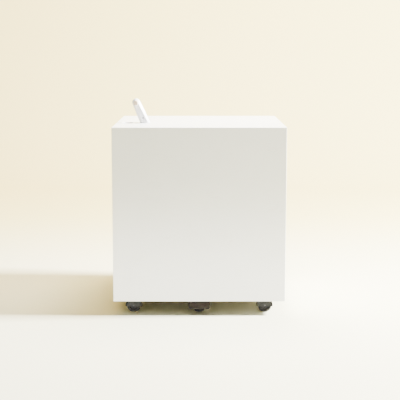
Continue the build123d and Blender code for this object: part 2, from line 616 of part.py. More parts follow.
# ---- build ------------------------------------------------------------------------------------------------
def build_case():
    boards = case_boards()
    top = boards["top_board"] - finger_scoop() - flange(PRESS)
    for hole in flange_screws(PRESS):
        top -= hole
    boards["top_board"] = top
    for node, board in boards.items():
        save(board, node)

    base = block(
        -INNER_HALF_W + BASE_FIT, INNER_HALF_W - BASE_FIT, -INNER_HALF_D + BASE_FIT, INNER_HALF_D - BASE_FIT,
        BASE_UNDER, BASE_TOP,
    )
    for sx, sy in CASTORS.values():
        base -= castor_frame(sx, sy) * rod(
            KINGPIN_HEAD_DIAMETER + 2 * KINGPIN_HEAD_ROOM, (0, 0, BASE_UNDER - 1),
            (0, 0, BASE_UNDER + KINGPIN_HEAD_HEIGHT + KINGPIN_HEAD_ROOM),
        )
    holes = castor_screws(PRESS) + bracket_screws(PRESS) + post_screws(PRESS)
    for hole in holes:
        base -= hole
    base -= rod(GUIDE_DIAMETER + 2 * PRESS, (0, LOCK_Y, 0), (0, LOCK_Y, BASE_TOP + 1))
    save(base, "base_board")

    screws = post_screws()
    bores = post_screws(PRESS)
    for index, (sx, sy, x, y) in enumerate(post_places()):
        post = block(x - POST / 2, x + POST / 2, y - POST / 2, y + POST / 2, BASE_TOP, INNER_TOP)
        for bore in bores[2 * index:2 * index + 2]:
            post -= bore
        across, along = "left" if sx < 0 else "right", "front" if sy < 0 else "back"
        save(post, f"corner_post_{along}_{across}")
    save(Compound(screws), "base_screws")


def build_castors():
    for name, (sx, sy) in CASTORS.items():
        place = castor_frame(sx, sy)
        plate = place * swivel_plate()
        for hole in castor_screws(PRESS):
            plate -= hole
        save(plate, f"castor_plate_{name}")
        save(place * hood(), f"castor_hood_{name}")
        save(place * axle(), f"castor_axle_{name}")
        for label, side in {"a": -1, "b": 1}.items():
            save(place * wheel_hub(side), f"wheel_hub_{name}_{label}")
            save(place * tyre(side), f"tyre_{name}_{label}")
    save(Compound([castor_frame(sx, sy) * kingpin() for sx, sy in CASTORS.values()]), "castor_kingpins")
    save(Compound(castor_screws()), "castor_screws")


def build_handle():
    save(handle_base(), "handle_base")
    save(handle_lever(), "handle_lever")
    save(handle_grip(), "handle_grip")
    save(handle_pin(), "handle_pin")
    save(Compound(flange_screws()), "handle_screws")


def build_lock():
    save(lock_pad(), "lock_pad")
    save(lock_plunger(), "lock_plunger")
    save(lock_guide(), "lock_guide")
    save(lock_spring(), "lock_spring")
    save(spring_retainer(), "lock_spring_retainer")
    save(lock_bracket(), "lock_bracket")
    save(pivot_pin(), "pedal_pivot_pin")
    save(cross_pin(), "plunger_cross_pin")
    save(lock_pedal(), "lock_pedal")
    save(Compound(bracket_screws()), "lock_screws")


build_case()
build_castors()
build_handle()
build_lock()
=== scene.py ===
"""Looks of the mobile display plinth: lacquered case, hooded castors, floor lock and folding handle."""

import json
from contextlib import contextmanager
from math import atan2, cos, degrees, pi, radians, sin

import bmesh
import bpy
from mathutils import Matrix, Vector


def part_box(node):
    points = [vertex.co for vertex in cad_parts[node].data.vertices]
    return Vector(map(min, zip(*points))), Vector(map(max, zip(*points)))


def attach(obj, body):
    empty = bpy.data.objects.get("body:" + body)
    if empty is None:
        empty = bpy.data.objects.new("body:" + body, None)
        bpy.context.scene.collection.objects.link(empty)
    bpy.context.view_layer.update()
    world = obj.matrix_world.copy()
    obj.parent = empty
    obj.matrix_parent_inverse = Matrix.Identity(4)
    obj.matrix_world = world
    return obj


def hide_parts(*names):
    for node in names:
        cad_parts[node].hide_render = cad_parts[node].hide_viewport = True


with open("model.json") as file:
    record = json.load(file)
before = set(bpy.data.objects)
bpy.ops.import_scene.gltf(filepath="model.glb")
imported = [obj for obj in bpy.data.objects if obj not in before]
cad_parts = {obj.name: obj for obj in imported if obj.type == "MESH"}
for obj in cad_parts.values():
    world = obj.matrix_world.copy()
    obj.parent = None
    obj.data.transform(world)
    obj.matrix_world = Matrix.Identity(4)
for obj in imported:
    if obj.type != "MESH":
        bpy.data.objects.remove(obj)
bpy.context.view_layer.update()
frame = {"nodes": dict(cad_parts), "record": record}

nodes = frame["nodes"]
MM = 0.001
SAME = 1e-6
CASTORS = ("front_left", "front_right", "back_left", "back_right")
QUARTER = pi / 2


# ---- camera and lamps ---------------------------------------------------------------------------
LENS = 93.5
EYE = (0.002, -2.88, 0.700)
TIPPED_DOWN = 8.43


def add_camera():
    """A long lens square on to the case and a little above it, tipped down without any shift."""
    data = bpy.data.cameras.new("camera")
    data.lens = LENS
    data.clip_start, data.clip_end = 0.05, 30
    camera = bpy.data.objects.new("camera", data)
    camera.location = EYE
    camera.rotation_euler = (radians(90 - TIPPED_DOWN), 0, 0)
    bpy.context.collection.objects.link(camera)
    bpy.context.scene.camera = camera


def add_softbox(name, place, aim, width, height, watts, colour, spread=180):
    """A lit rectangle at place, turned towards aim. The camera doesn't see it. spread is in degrees."""
    data = bpy.data.lights.new(name, "AREA")
    data.shape = "RECTANGLE"
    data.size, data.size_y = width, height
    data.energy = watts
    data.color = colour
    data.spread = radians(spread)
    lamp = bpy.data.objects.new(name, data)
    lamp.location = place
    lamp.rotation_euler = (Vector(aim) - Vector(place)).to_track_quat("-Z", "Y").to_euler()
    lamp.visible_camera = False
    bpy.context.collection.objects.link(lamp)


# ---- modelling helpers --------------------------------------------------------------------------
def select_only(*objects):
    if bpy.context.object and bpy.context.object.mode != "OBJECT":
        bpy.ops.object.mode_set(mode="OBJECT")
    bpy.ops.object.select_all(action="DESELECT")
    for obj in objects:
        obj.select_set(True)
    bpy.context.view_layer.objects.active = objects[0] if objects else None


def settle(obj):
    """Puts the object's place into its mesh."""
    select_only(obj)
    bpy.ops.object.transform_apply(location=True, rotation=True, scale=True)
    return obj


def named(name):
    obj = bpy.context.object
    obj.name = obj.data.name = name
    return obj


def place(obj, matrix):
    obj.matrix_world = matrix
    return settle(obj)


def cube(name, low, high):
    """A box between two corners, in millimetres."""
    select_only()
    low, high = Vector(low) * MM, Vector(high) * MM
    bpy.ops.mesh.primitive_cube_add(size=1, location=(low + high) / 2)
    obj = named(name)
    obj.scale = high - low
    return settle(obj)


def cylinder(name, radius, low, high, sides=64, axis="Z", centre=(0, 0, 0)):
    """A bar along one axis, from low to high, round centre."""
    select_only()
    bpy.ops.mesh.primitive_cylinder_add(
        vertices=sides, radius=radius * MM, depth=(high - low) * MM, location=(0, 0, (low + high) / 2 * MM)
    )
    obj = settle(named(name))
    turn = {"Z": Matrix(), "Y": Matrix.Rotation(-QUARTER, 4, "X"), "X": Matrix.Rotation(QUARTER, 4, "Y")}
    return place(obj, Matrix.Translation(Vector(centre) * MM) @ turn[axis])


@contextmanager
def editing(obj, kind="FACE"):
    """Edit mode on one piece, with nothing selected in it."""
    select_only(obj)
    bpy.ops.object.mode_set(mode="EDIT")
    bpy.ops.mesh.select_mode(type=kind)
    bpy.ops.mesh.select_all(action="DESELECT")
    yield
    bpy.ops.object.mode_set(mode="OBJECT")


def pick(kind, test):
    """Selects the open mesh's verts, edges or faces that pass the test, and nothing else."""
    mesh = bpy.context.object.data
    work = bmesh.from_edit_mesh(mesh)
    work.normal_update()
    for element in [*work.faces, *work.edges, *work.verts]:
        element.select = False
    for element in [element for element in getattr(work, kind) if test(element)]:
        element.select_set(True)
    bmesh.update_edit_mesh(mesh)


def middle(edge):
    return (edge.verts[0].co + edge.verts[1].co) / 2


def runs_along(edge, axis):
    way = edge.verts[1].co - edge.verts[0].co
    return abs(way.normalized()[axis]) > 0.999


def arc(centre, radius, start, end, steps):
    """Points of a quarter or so of a circle, as (radius, height) stations."""
    angles = [radians(start + (end - start) * i / steps) for i in range(steps + 1)]
    return [(centre[0] + radius * cos(a), centre[1] + radius * sin(a)) for a in angles]


def turned(name, outline, sides=64, ring=False):
    """Lathe work about Z. Each ring of the outline's (radius, height) stations is extruded from the last."""
    select_only()
    radius, height = outline[0]
    bpy.ops.mesh.primitive_circle_add(vertices=sides, radius=radius * MM, location=(0, 0, height * MM))
    obj = settle(named(name))
    stations = outline + [outline[0]] if ring else outline
    with editing(obj, "EDGE"):
        bpy.ops.mesh.select_all(action="SELECT")
        for (r0, z0), (r1, z1) in zip(stations, stations[1:]):
            bpy.ops.mesh.extrude_edges_move(TRANSFORM_OT_translate={"value": (0, 0, (z1 - z0) * MM)})
            if r1 != r0:
                bpy.ops.transform.resize(value=(r1 / r0, r1 / r0, 1), center_override=(0, 0, z1 * MM))
        bpy.ops.mesh.select_all(action="SELECT")
        bpy.ops.mesh.remove_doubles(threshold=SAME)
        if not ring:
            bpy.ops.mesh.select_all(action="SELECT")
            bpy.ops.mesh.fill_holes(sides=0)
        bpy.ops.mesh.select_all(action="SELECT")
        bpy.ops.mesh.normals_make_consistent(inside=False)
    return obj


def combine(obj, cutter, operation="DIFFERENCE"):
    """Cuts, adds or intersects with a second shape, which is used up."""
    select_only(obj)
    step = obj.modifiers.new("combine", "BOOLEAN")
    step.operation = operation
    step.solver = "EXACT"
    step.object = cutter
    bpy.ops.object.modifier_apply(modifier=step.name)
    bpy.data.objects.remove(cutter)
    return obj


def soften(obj, width, segments=2, angle=35):
    """Eases every edge sharper than angle."""
    select_only(obj)
    step = obj.modifiers.new("ease", "BEVEL")
    step.width = width * MM
    step.segments = segments
    step.limit_method = "ANGLE"
    step.angle_limit = radians(angle)
    step.miter_outer = "MITER_ARC"
    bpy.ops.object.modifier_apply(modifier=step.name)
    return obj


def tidy(obj):
    """Merges the doubled points that a cut leaves."""
    doubled = 0.004 * MM
    with editing(obj):
        bpy.ops.mesh.select_all(action="SELECT")
        bpy.ops.mesh.remove_doubles(threshold=doubled)
        bpy.ops.mesh.dissolve_degenerate(threshold=doubled)
    return obj


def join(name, *objects):
    select_only(*objects)
    bpy.ops.object.join()
    return named(name)


def copy_of(obj, name, matrix):
    """A copy with a mesh of its own, moved by matrix."""
    twin = obj.copy()
    twin.data = obj.data.copy()
    twin.name = twin.data.name = name
    bpy.context.collection.objects.link(twin)
    twin.data.transform(matrix)
    return twin


def smooth(obj, angle=32):
    select_only(obj)
    bpy.ops.object.shade_smooth_by_angle(angle=radians(angle))


def finished(obj, slot, body, *stands_for):
    """Shades a piece, gives it its finish, and hangs it on its CAD body in place of its CAD nodes."""
    smooth(obj)
    obj.data.materials.clear()
    obj.data.materials.append(FINISH[slot])
    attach(obj, body)
    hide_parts(*stands_for)


# ---- shader node groups -------------------------------------------------------------------------
def node(tree, kind, inputs=None, **settings):
    """A shader node. inputs maps a socket's name or number to a value, or to the socket that feeds it."""
    made = tree.nodes.new("ShaderNode" + kind)
    for key, value in settings.items():
        setattr(made, key, value)
    for key, value in (inputs or {}).items():
        if isinstance(value, bpy.types.NodeSocket):
            tree.links.new(value, made.inputs[key])
        else:
            made.inputs[key].default_value = value
    return made


def new_group(name, inputs, outputs):
    """An empty group. Returns its tree, its input sockets by name, and a function that wires its outputs."""
    tree = bpy.data.node_groups.new(name, "ShaderNodeTree")
    for label, value in inputs.items():
        kind = "NodeSocketVector" if label == "Vector" else "NodeSocketFloat"
        socket = tree.interface.new_socket(label, in_out="INPUT", socket_type=kind)
        if kind == "NodeSocketFloat":
            socket.default_value = value
    for label in outputs:
        tree.interface.new_socket(label, in_out="OUTPUT", socket_type="NodeSocketFloat")
    start, end = tree.nodes.new("NodeGroupInput"), tree.nodes.new("NodeGroupOutput")

    def close(**sockets):
        for label, socket in sockets.items():
            tree.links.new(socket, end.inputs[label])

    return tree, start.outputs, close


def math(tree, operation, a, b=0.0, clamp=False):
    return node(tree, "Math", {0: a, 1: b}, operation=operation, use_clamp=clamp).outputs[0]


def make_mottle():
    """Soft clouds from 0 to 1, for slow changes of tone and gloss."""
    tree, given, close = new_group("mottle", {"Vector": None, "Scale": 20.0, "Contrast": 2.0}, ["Mask"])
    clouds = node(
        tree, "TexNoise",
        {"Vector": given["Vector"], "Scale": given["Scale"], "Detail": 4.0, "Roughness": 0.6},
    ).outputs[0]
    spread = math(tree, "MULTIPLY", math(tree, "SUBTRACT", clouds, 0.5), given["Contrast"])
    close(Mask=math(tree, "ADD", spread, 0.5, clamp=True))
    return tree


def make_grain():
    """A fine even texture of small soft bumps, as on moulded or sprayed surfaces."""
    tree, given, close = new_group("grain", {"Vector": None, "Scale": 900.0, "Mix": 0.5}, ["Height"])
    spot = {"Vector": given["Vector"], "Scale": given["Scale"]}
    fine = node(tree, "TexNoise", {**spot, "Detail": 2.0}).outputs[0]
    cells = node(tree, "TexVoronoi", {**spot, "Smoothness": 0.8}, feature="SMOOTH_F1").outputs[0]
    mixed = node(tree, "Mix", {0: given["Mix"], 2: fine, 3: cells}, data_type="FLOAT").outputs[0]
    close(Height=mixed)
    return tree


def make_scuffs():
    """Thin broken scratches, in two directions."""
    tree, given, close = new_group("scuffs", {"Vector": None, "Scale": 30.0, "Amount": 0.5}, ["Mask"])
    hairline = 0.012
    lines = []
    for turn, stretch in ((0.4, (1, 14, 3)), (1.9, (13, 1, 4))):
        laid = node(
            tree, "Mapping", {"Vector": given["Vector"], "Rotation": (0.3, 0.2, turn), "Scale": stretch}
        ).outputs[0]
        streak = node(tree, "TexNoise", {"Vector": laid, "Scale": given["Scale"], "Detail": 3.0}).outputs[0]
        lines.append(math(tree, "COMPARE", streak, 0.5))
        lines[-1].node.inputs[2].default_value = hairline
    both = math(tree, "MAXIMUM", *lines)
    spot = {"Vector": given["Vector"], "Scale": given["Scale"]}
    patches = node(tree, "TexNoise", {**spot, "Detail": 1.0}).outputs[0]
    near = math(tree, "GREATER_THAN", patches, math(tree, "SUBTRACT", 1.0, given["Amount"]))
    close(Mask=math(tree, "MULTIPLY", both, near))
    return tree


def make_floor_dust():
    """Dust that thins out upwards: 1 at the floor, 0 at Height."""
    tree, given, close = new_group("floor_dust", {"Vector": None, "Height": 0.05, "Scale": 120.0}, ["Mask"])
    parts = node(tree, "SeparateXYZ", {0: given["Vector"]}).outputs
    rise = math(tree, "DIVIDE", parts[2], given["Height"])
    low = math(tree, "SUBTRACT", 1.0, rise, clamp=True)
    spot = {"Vector": given["Vector"], "Scale": given["Scale"]}
    specks = node(tree, "TexNoise", {**spot, "Detail": 6.0}).outputs[0]
    rough = math(tree, "MULTIPLY", math(tree, "SUBTRACT", specks, 0.35), 2.6, clamp=True)
    close(Mask=math(tree, "MULTIPLY", low, rough))
    return tree


def make_wood():
    """Growth rings about Y, with fine fibre streaks along it and the short dark flecks of beech."""
    tree, given, close = new_group(
        "wood", {"Vector": None, "Rings": 90.0, "Wander": 3.0, "Fibre": 900.0}, ["Rings", "Fibre", "Flecks"]
    )
    rings = node(
        tree, "TexWave",
        {"Vector": given["Vector"], "Scale": given["Rings"], "Distortion": given["Wander"], "Detail": 3.0,
         "Detail Scale": 1.4},
        wave_type="RINGS", rings_direction="Y", wave_profile="SAW",
    ).outputs[1]
    along = node(tree, "Mapping", {"Vector": given["Vector"], "Scale": (1, 0.035, 1)}).outputs[0]
    fibre = node(
        tree, "TexNoise", {"Vector": along, "Scale": given["Fibre"], "Detail": 5.0, "Roughness": 0.7}
    ).outputs[0]
    short = node(tree, "Mapping", {"Vector": given["Vector"], "Scale": (1, 0.12, 1)}).outputs[0]
    count = math(tree, "MULTIPLY", given["Fibre"], 0.9)
    specks = node(tree, "TexVoronoi", {"Vector": short, "Scale": count}).outputs[0]
    flecks = math(tree, "LESS_THAN", specks, 0.22)
    close(Rings=rings, Fibre=fibre, Flecks=flecks)
    return tree


MOTTLE, GRAIN, SCUFFS = make_mottle(), make_grain(), make_scuffs()
DUST, WOOD = make_floor_dust(), make_wood()


# ---- finishes -----------------------------------------------------------------------------------
class Finish:
    """One material under construction: object coordinates in, a Principled BSDF out."""

    def __init__(self, name, metallic=0.0, **sockets):
        self.material = bpy.data.materials.new(name)
        self.material.use_nodes = True
        self.tree = self.material.node_tree
        self.tree.nodes.clear()
        self.shader = node(self.tree, "BsdfPrincipled", {"Metallic": metallic, **sockets})
        end = self.tree.nodes.new("ShaderNodeOutputMaterial")
        self.tree.links.new(self.shader.outputs[0], end.inputs[0])
        self.where = node(self.tree, "TexCoord").outputs["Object"]

    def mapped(self, location=(0, 0, 0), rotation=(0, 0, 0), scale=(1, 1, 1)):
        return node(
            self.tree, "Mapping",
            {"Vector": self.where, "Location": location, "Rotation": rotation, "Scale": scale},
        ).outputs[0]

    def use(self, group, output="Mask", vector=None, **inputs):
        made = node(self.tree, "Group", node_tree=group)
        self.tree.links.new(vector or self.where, made.inputs["Vector"])
        for key, value in inputs.items():
            made.inputs[key].default_value = value
        return made.outputs[output] if output else made

    def blend(self, factor, a, b, mode="MIX"):
        """Colour a turns into colour b as factor goes from 0 to 1."""
        return node(self.tree, "Mix", {0: factor, 6: a, 7: b}, data_type="RGBA", blend_type=mode).outputs[2]

    def span(self, factor, low, high):
        """A value that goes from low to high with factor."""
        return node(self.tree, "MapRange", {0: factor, 3: low, 4: high}).outputs[0]

    def scaled(self, factor, amount):
        return math(self.tree, "MULTIPLY", factor, amount)

    def bump(self, height, distance, strength):
        """Relief that is distance millimetres high."""
        relief = {"Height": height, "Distance": distance * MM, "Strength": strength}
        return node(self.tree, "Bump", relief).outputs[0]

    def done(self, **sockets):
        for key, socket in sockets.items():
            self.tree.links.new(socket, self.shader.inputs[key.replace("_", " ")])
        return self.material


DULL = {"Specular IOR Level": 0.1}


def rgb(red, green, blue):
    return (red, green, blue, 1.0)


def lacquer(name, tone, shade, roughness, peel):
    """Sprayed white paint: faint clouds, orange peel, hairline scuffs, and grey dust low down."""
    f = Finish(name, IOR=1.5)
    clouds = f.use(MOTTLE, Scale=9.0, Contrast=1.6)
    colour = f.blend(clouds, tone, shade)
    scuffs = f.use(SCUFFS, Scale=16.0, Amount=0.42)
    colour = f.blend(f.scaled(scuffs, 0.10), colour, rgb(0.55, 0.54, 0.52))
    dust = f.use(DUST, Height=0.10, Scale=60.0)
    colour = f.blend(f.scaled(dust, 0.08), colour, rgb(0.48, 0.44, 0.38))
    gloss = f.use(MOTTLE, Scale=45.0, Contrast=1.8)
    rough = math(f.tree, "ADD", f.span(gloss, *roughness), f.scaled(scuffs, 0.12))
    skin = f.bump(f.use(GRAIN, "Height", Scale=peel, Mix=0.25), 0.05, 0.35)
    return f.done(Base_Color=colour, Roughness=rough, Normal=skin)


def moulded(name, tone, worn, roughness, grain, dust_height=0.05):
    """Injection-moulded plastic: spark-eroded texture, pale scuffs and floor dust."""
    f = Finish(name, **DULL)
    colour = f.blend(f.use(MOTTLE, Scale=70.0, Contrast=2.2), tone, worn)
    scuffs = f.use(SCUFFS, Scale=90.0, Amount=0.5)
    colour = f.blend(f.scaled(scuffs, 0.25), colour, rgb(0.10, 0.10, 0.095))
    dust = f.use(DUST, Height=dust_height, Scale=320.0)
    colour = f.blend(f.scaled(dust, 0.10), colour, rgb(0.22, 0.20, 0.17))
    rough = math(f.tree, "ADD", f.span(f.use(MOTTLE, Scale=160.0), *roughness), f.scaled(dust, 0.2))
    skin = f.bump(f.use(GRAIN, "Height", Scale=grain, Mix=0.5), 0.05, 0.6)
    return f.done(Base_Color=colour, Roughness=rough, Normal=skin)


def rubber(name, tone):
    """Matt rubber with a faint bloom and grey dust on what meets the floor."""
    f = Finish(name, **DULL)
    bloom = f.use(MOTTLE, Scale=110.0, Contrast=2.4)
    colour = f.blend(bloom, tone, rgb(0.018, 0.0175, 0.017))
    dust = f.use(DUST, Height=0.02, Scale=420.0)
    colour = f.blend(f.scaled(dust, 0.14), colour, rgb(0.14, 0.13, 0.11))
    rough = f.span(bloom, 0.62, 0.82)
    skin = f.bump(f.use(GRAIN, "Height", Scale=1500.0, Mix=0.6), 0.06, 0.6)
    return f.done(Base_Color=colour, Roughness=rough, Normal=skin)


def plated(name, bright, dull, roughness, streak=(1, 1, 12)):
    """Plated steel: drawn streaks, cloudy passivation and hairline handling marks."""
    f = Finish(name, metallic=1.0)
    bloom = f.use(MOTTLE, Scale=60.0, Contrast=2.6)
    colour = f.blend(bloom, bright, dull)
    drawn = f.use(MOTTLE, vector=f.mapped(scale=streak), Scale=240.0, Contrast=2.0)
    colour = f.blend(f.scaled(drawn, 0.18), colour, rgb(0.30, 0.30, 0.31))
    scuffs = f.use(SCUFFS, Scale=80.0, Amount=0.5)
    rough = math(f.tree, "ADD", f.span(bloom, *roughness), f.scaled(scuffs, 0.15))
    skin = f.bump(drawn, 0.02, 0.5)
    return f.done(Base_Color=colour, Roughness=rough, Normal=skin)


def timber(name, pale, dark, rings, wander, fibre, roughness, flecks, rotation=(0, 0, 0), location=(0, 0, 0)):
    """Bare or oiled wood with rings, fibre and flecks along its length."""
    f = Finish(name)
    wood = f.use(WOOD, None, vector=f.mapped(location, rotation), Rings=rings, Wander=wander, Fibre=fibre)
    colour = f.blend(wood.outputs["Rings"], pale, dark)
    colour = f.blend(f.scaled(wood.outputs["Fibre"], 0.45), colour, dark, "MULTIPLY")
    colour = f.blend(f.scaled(wood.outputs["Flecks"], flecks), colour, rgb(0.26, 0.13, 0.055))
    rough = f.span(wood.outputs["Fibre"], *roughness)
    skin = f.bump(wood.outputs["Fibre"], 0.08, 0.5)
    return f.done(Base_Color=colour, Roughness=rough, Normal=skin)


def film_ply(name, tone, worn):
    """Film-faced plywood: a thin dark resin film that lets the veneer's fibre show through."""
    f = Finish(name)
    laid = f.mapped((0, 0, 0.5), (0.06, 0, 0.02))
    wood = f.use(WOOD, None, vector=laid, Rings=14.0, Wander=7.0, Fibre=260.0)
    colour = f.blend(wood.outputs["Rings"], tone, worn)
    colour = f.blend(f.scaled(wood.outputs["Fibre"], 0.4), colour, tone, "MULTIPLY")
    scuffs = f.use(SCUFFS, Scale=24.0, Amount=0.5)
    colour = f.blend(f.scaled(scuffs, 0.12), colour, rgb(0.16, 0.12, 0.08))
    rough = f.span(f.use(MOTTLE, Scale=40.0, Contrast=2.0), 0.34, 0.55)
    skin = f.bump(wood.outputs["Fibre"], 0.05, 0.4)
    return f.done(Base_Color=colour, Roughness=rough, Normal=skin)


def powder_coat(name, tone, rubbed_and_lit, roughness):
    """Baked powder coat: coarse peel, paler on what faces up (painted top light, with shoe wear), with bare
    scuffs.
    """
    f = Finish(name, **{"Specular IOR Level": 0.08})
    clouds = f.use(MOTTLE, Scale=55.0, Contrast=2.0)
    facing = node(f.tree, "SeparateXYZ", {0: node(f.tree, "NewGeometry").outputs["Normal"]}).outputs[2]
    upward = node(
        f.tree, "MapRange", {0: facing, 1: 0.55, 2: 0.85}, interpolation_type="SMOOTHSTEP"
    ).outputs[0]
    # painted top light: faces that point up get the paler tone, standing in for light from above as well as
    # shoe wear
    rub_and_top_light = math(f.tree, "MULTIPLY", upward, f.span(clouds, 0.55, 1.0))
    colour = f.blend(rub_and_top_light, tone, rubbed_and_lit)
    scuffs = f.use(SCUFFS, Scale=70.0, Amount=0.58)
    colour = f.blend(f.scaled(scuffs, 0.25), colour, rgb(0.10, 0.095, 0.085))
    rough = math(f.tree, "ADD", f.span(clouds, *roughness), f.scaled(rub_and_top_light, 0.1))
    skin = f.bump(f.use(GRAIN, "Height", Scale=700.0, Mix=0.5), 0.12, 0.6)
    return f.done(Base_Color=colour, Roughness=rough, Normal=skin)


def studio(name, tone, far_tone, start, end):
    """Matt paper, whiter near the object and warmer towards the back."""
    f = Finish(name, **{"Specular IOR Level": 0.2})
    depth = node(f.tree, "SeparateXYZ", {0: f.where}).outputs[1]
    back = node(
        f.tree, "MapRange", {0: depth, 1: start, 2: end}, interpolation_type="SMOOTHSTEP"
    ).outputs[0]
    colour = f.blend(back, tone, far_tone)
    fibre = f.use(MOTTLE, Scale=6.0, Contrast=1.2)
    colour = f.blend(f.scaled(fibre, 0.04), colour, rgb(0.70, 0.66, 0.58))
    rough = f.span(f.use(MOTTLE, Scale=30.0), 0.80, 0.95)
    return f.done(Base_Color=colour, Roughness=rough)


FINISH = {
    "white_lacquer": lacquer(
        "white_lacquer", rgb(0.82, 0.825, 0.83), rgb(0.785, 0.79, 0.79), (0.30, 0.42), 420.0
    ),
    "white_coat": lacquer("white_coat", rgb(0.82, 0.82, 0.82), rgb(0.78, 0.78, 0.775), (0.34, 0.46), 900.0),
    "plywood": film_ply("plywood", rgb(0.030, 0.020, 0.012), rgb(0.044, 0.030, 0.018)),
    "pine": timber(
        "pine", rgb(0.66, 0.47, 0.27), rgb(0.45, 0.26, 0.11), 60.0, 2.0, 420.0, (0.5, 0.7),
        flecks=0.1, rotation=(radians(90), 0, 0.03),
    ),
    "beech": timber(
        "beech", rgb(0.72, 0.60, 0.45), rgb(0.60, 0.46, 0.31), 170.0, 1.5, 1500.0, (0.38, 0.52),
        flecks=0.45, location=(0.1705, 0, -0.549),
    ),
    "grey_nylon": moulded(
        "grey_nylon", rgb(0.009, 0.0095, 0.010), rgb(0.015, 0.015, 0.015), (0.36, 0.48), 1400.0
    ),
    "black_nylon": moulded(
        "black_nylon", rgb(0.007, 0.007, 0.008), rgb(0.012, 0.012, 0.012), (0.34, 0.48), 1800.0, 0.03
    ),
    "black_rubber": rubber("black_rubber", rgb(0.008, 0.008, 0.008)),
    "zinc_steel": plated("zinc_steel", rgb(0.62, 0.63, 0.64), rgb(0.46, 0.47, 0.49), (0.24, 0.42)),
    # the pedal's second colour is the paler tone of upward faces: painted top light, with shoe wear
    "pedal_coat": powder_coat(
        "pedal_coat", rgb(0.012, 0.010, 0.0085), rgb(0.095, 0.078, 0.064), (0.40, 0.58)
    ),
}


def finish_cad_nodes():
    """Every CAD node that stays gets the finish of its slot. The castors' axles are blacked, not bright."""
    blacked = plated(
        "blacked_steel", rgb(0.040, 0.040, 0.042), rgb(0.022, 0.021, 0.020), (0.32, 0.50), (1, 12, 1)
    )
    for part in frame["record"]["subparts"]:
        obj = nodes[part["node"]]
        finish = blacked if part["node"].startswith("castor_axle") else FINISH[part["material_slot"]]
        for index in range(len(obj.material_slots)):
            obj.material_slots[index].material = finish


# ---- castors, in millimetres --------------------------------------------------------------------
TREAD_RADIUS, HUB_RADIUS, HALF_WHEEL = 18.0, 13.5, 6.0
SHOULDER = 2.5
GROOVE, GROOVE_DEPTH = 2.0, 0.45        # each side of the middle of the tread
DISH = 3.0                              # depth of the hub's face
SPOKE_PITCH = 72
AXLE_RADIUS, AXLE_ROOM = 2.5, 0.06
TRAIL, AXLE_Z = 12.0, 18.0
WHEEL_MIDDLE = 8.5
HOOD_HALF, HOOD_EDGE, HOOD_WALL = 17.5, 3.5, 2.5
TYRE_ROOM, SKIRT_Z = 0.9, 16.0
BAY = (2.0, 15.0)                       # across one wheel, from the middle of the hood


def plan_middle(corners):
    """The middle in plan of a node's box."""
    low, high = corners
    return (low.x + high.x) / 2, (low.y + high.y) / 2


def castor_matrix(castor):
    """Where a castor's swivel axis stands: from its kept plate, with left-hand castors turned round."""
    x, y = plan_middle(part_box("castor_plate_" + castor))
    left_hand = castor.endswith("left")
    return Matrix.Translation((x, y, 0)) @ Matrix.Rotation(pi * left_hand, 4, "Z")


def model_tyre():
    """A round-shouldered tyre with two moulded grooves and a parting ridge between them."""
    outline = [(HUB_RADIUS, -HALF_WHEEL)]
    outline += arc((TREAD_RADIUS - SHOULDER, -HALF_WHEEL + SHOULDER), SHOULDER, -90, 0, 6)
    for groove in (-GROOVE, GROOVE):
        outline += [(TREAD_RADIUS, groove - 0.55), (TREAD_RADIUS - GROOVE_DEPTH, groove - 0.25)]
        outline += [(TREAD_RADIUS - GROOVE_DEPTH, groove + 0.25), (TREAD_RADIUS, groove + 0.55)]
    outline += arc((TREAD_RADIUS - SHOULDER, HALF_WHEEL - SHOULDER), SHOULDER, 0, 90, 6)
    outline += [(HUB_RADIUS, HALF_WHEEL)]
    return turned("tyre", outline, sides=96, ring=True)


def model_hub():
    """A dished hub with a raised boss round the axle and five moulded pockets between its spokes."""
    bore = AXLE_RADIUS + AXLE_ROOM
    outline = [
        (bore, -HALF_WHEEL), (HUB_RADIUS - 0.4, -HALF_WHEEL), (HUB_RADIUS, -HALF_WHEEL + 0.4),
        (HUB_RADIUS, HALF_WHEEL - 0.4), (HUB_RADIUS - 0.4, HALF_WHEEL), (HUB_RADIUS - 1.6, HALF_WHEEL),
        (HUB_RADIUS - 2.2, HALF_WHEEL - 0.5), (HUB_RADIUS - 3.0, HALF_WHEEL - DISH), (6.2, HALF_WHEEL - DISH),
        (5.6, HALF_WHEEL - 0.4), (5.2, HALF_WHEEL), (bore + 0.4, HALF_WHEEL), (bore, HALF_WHEEL - 0.4),
    ]
    hub = turned("hub", outline, sides=80, ring=True)
    floor_z = (HALF_WHEEL - DISH) * MM

    def in_pocket(face):
        spot = face.calc_center_median()
        turn = degrees(atan2(spot.y, spot.x)) % SPOKE_PITCH
        return abs(spot.z - floor_z) < 1e-5 and face.normal.z > 0.9 and 13 < turn < 59

    with editing(hub):
        pick("faces", in_pocket)
        bpy.ops.mesh.inset(thickness=0.45 * MM)
        bpy.ops.mesh.extrude_region_move(TRANSFORM_OT_translate={"value": (0, 0, -2.2 * MM)})
        bpy.ops.mesh.inset(thickness=0.35 * MM, depth=0)
    return hub


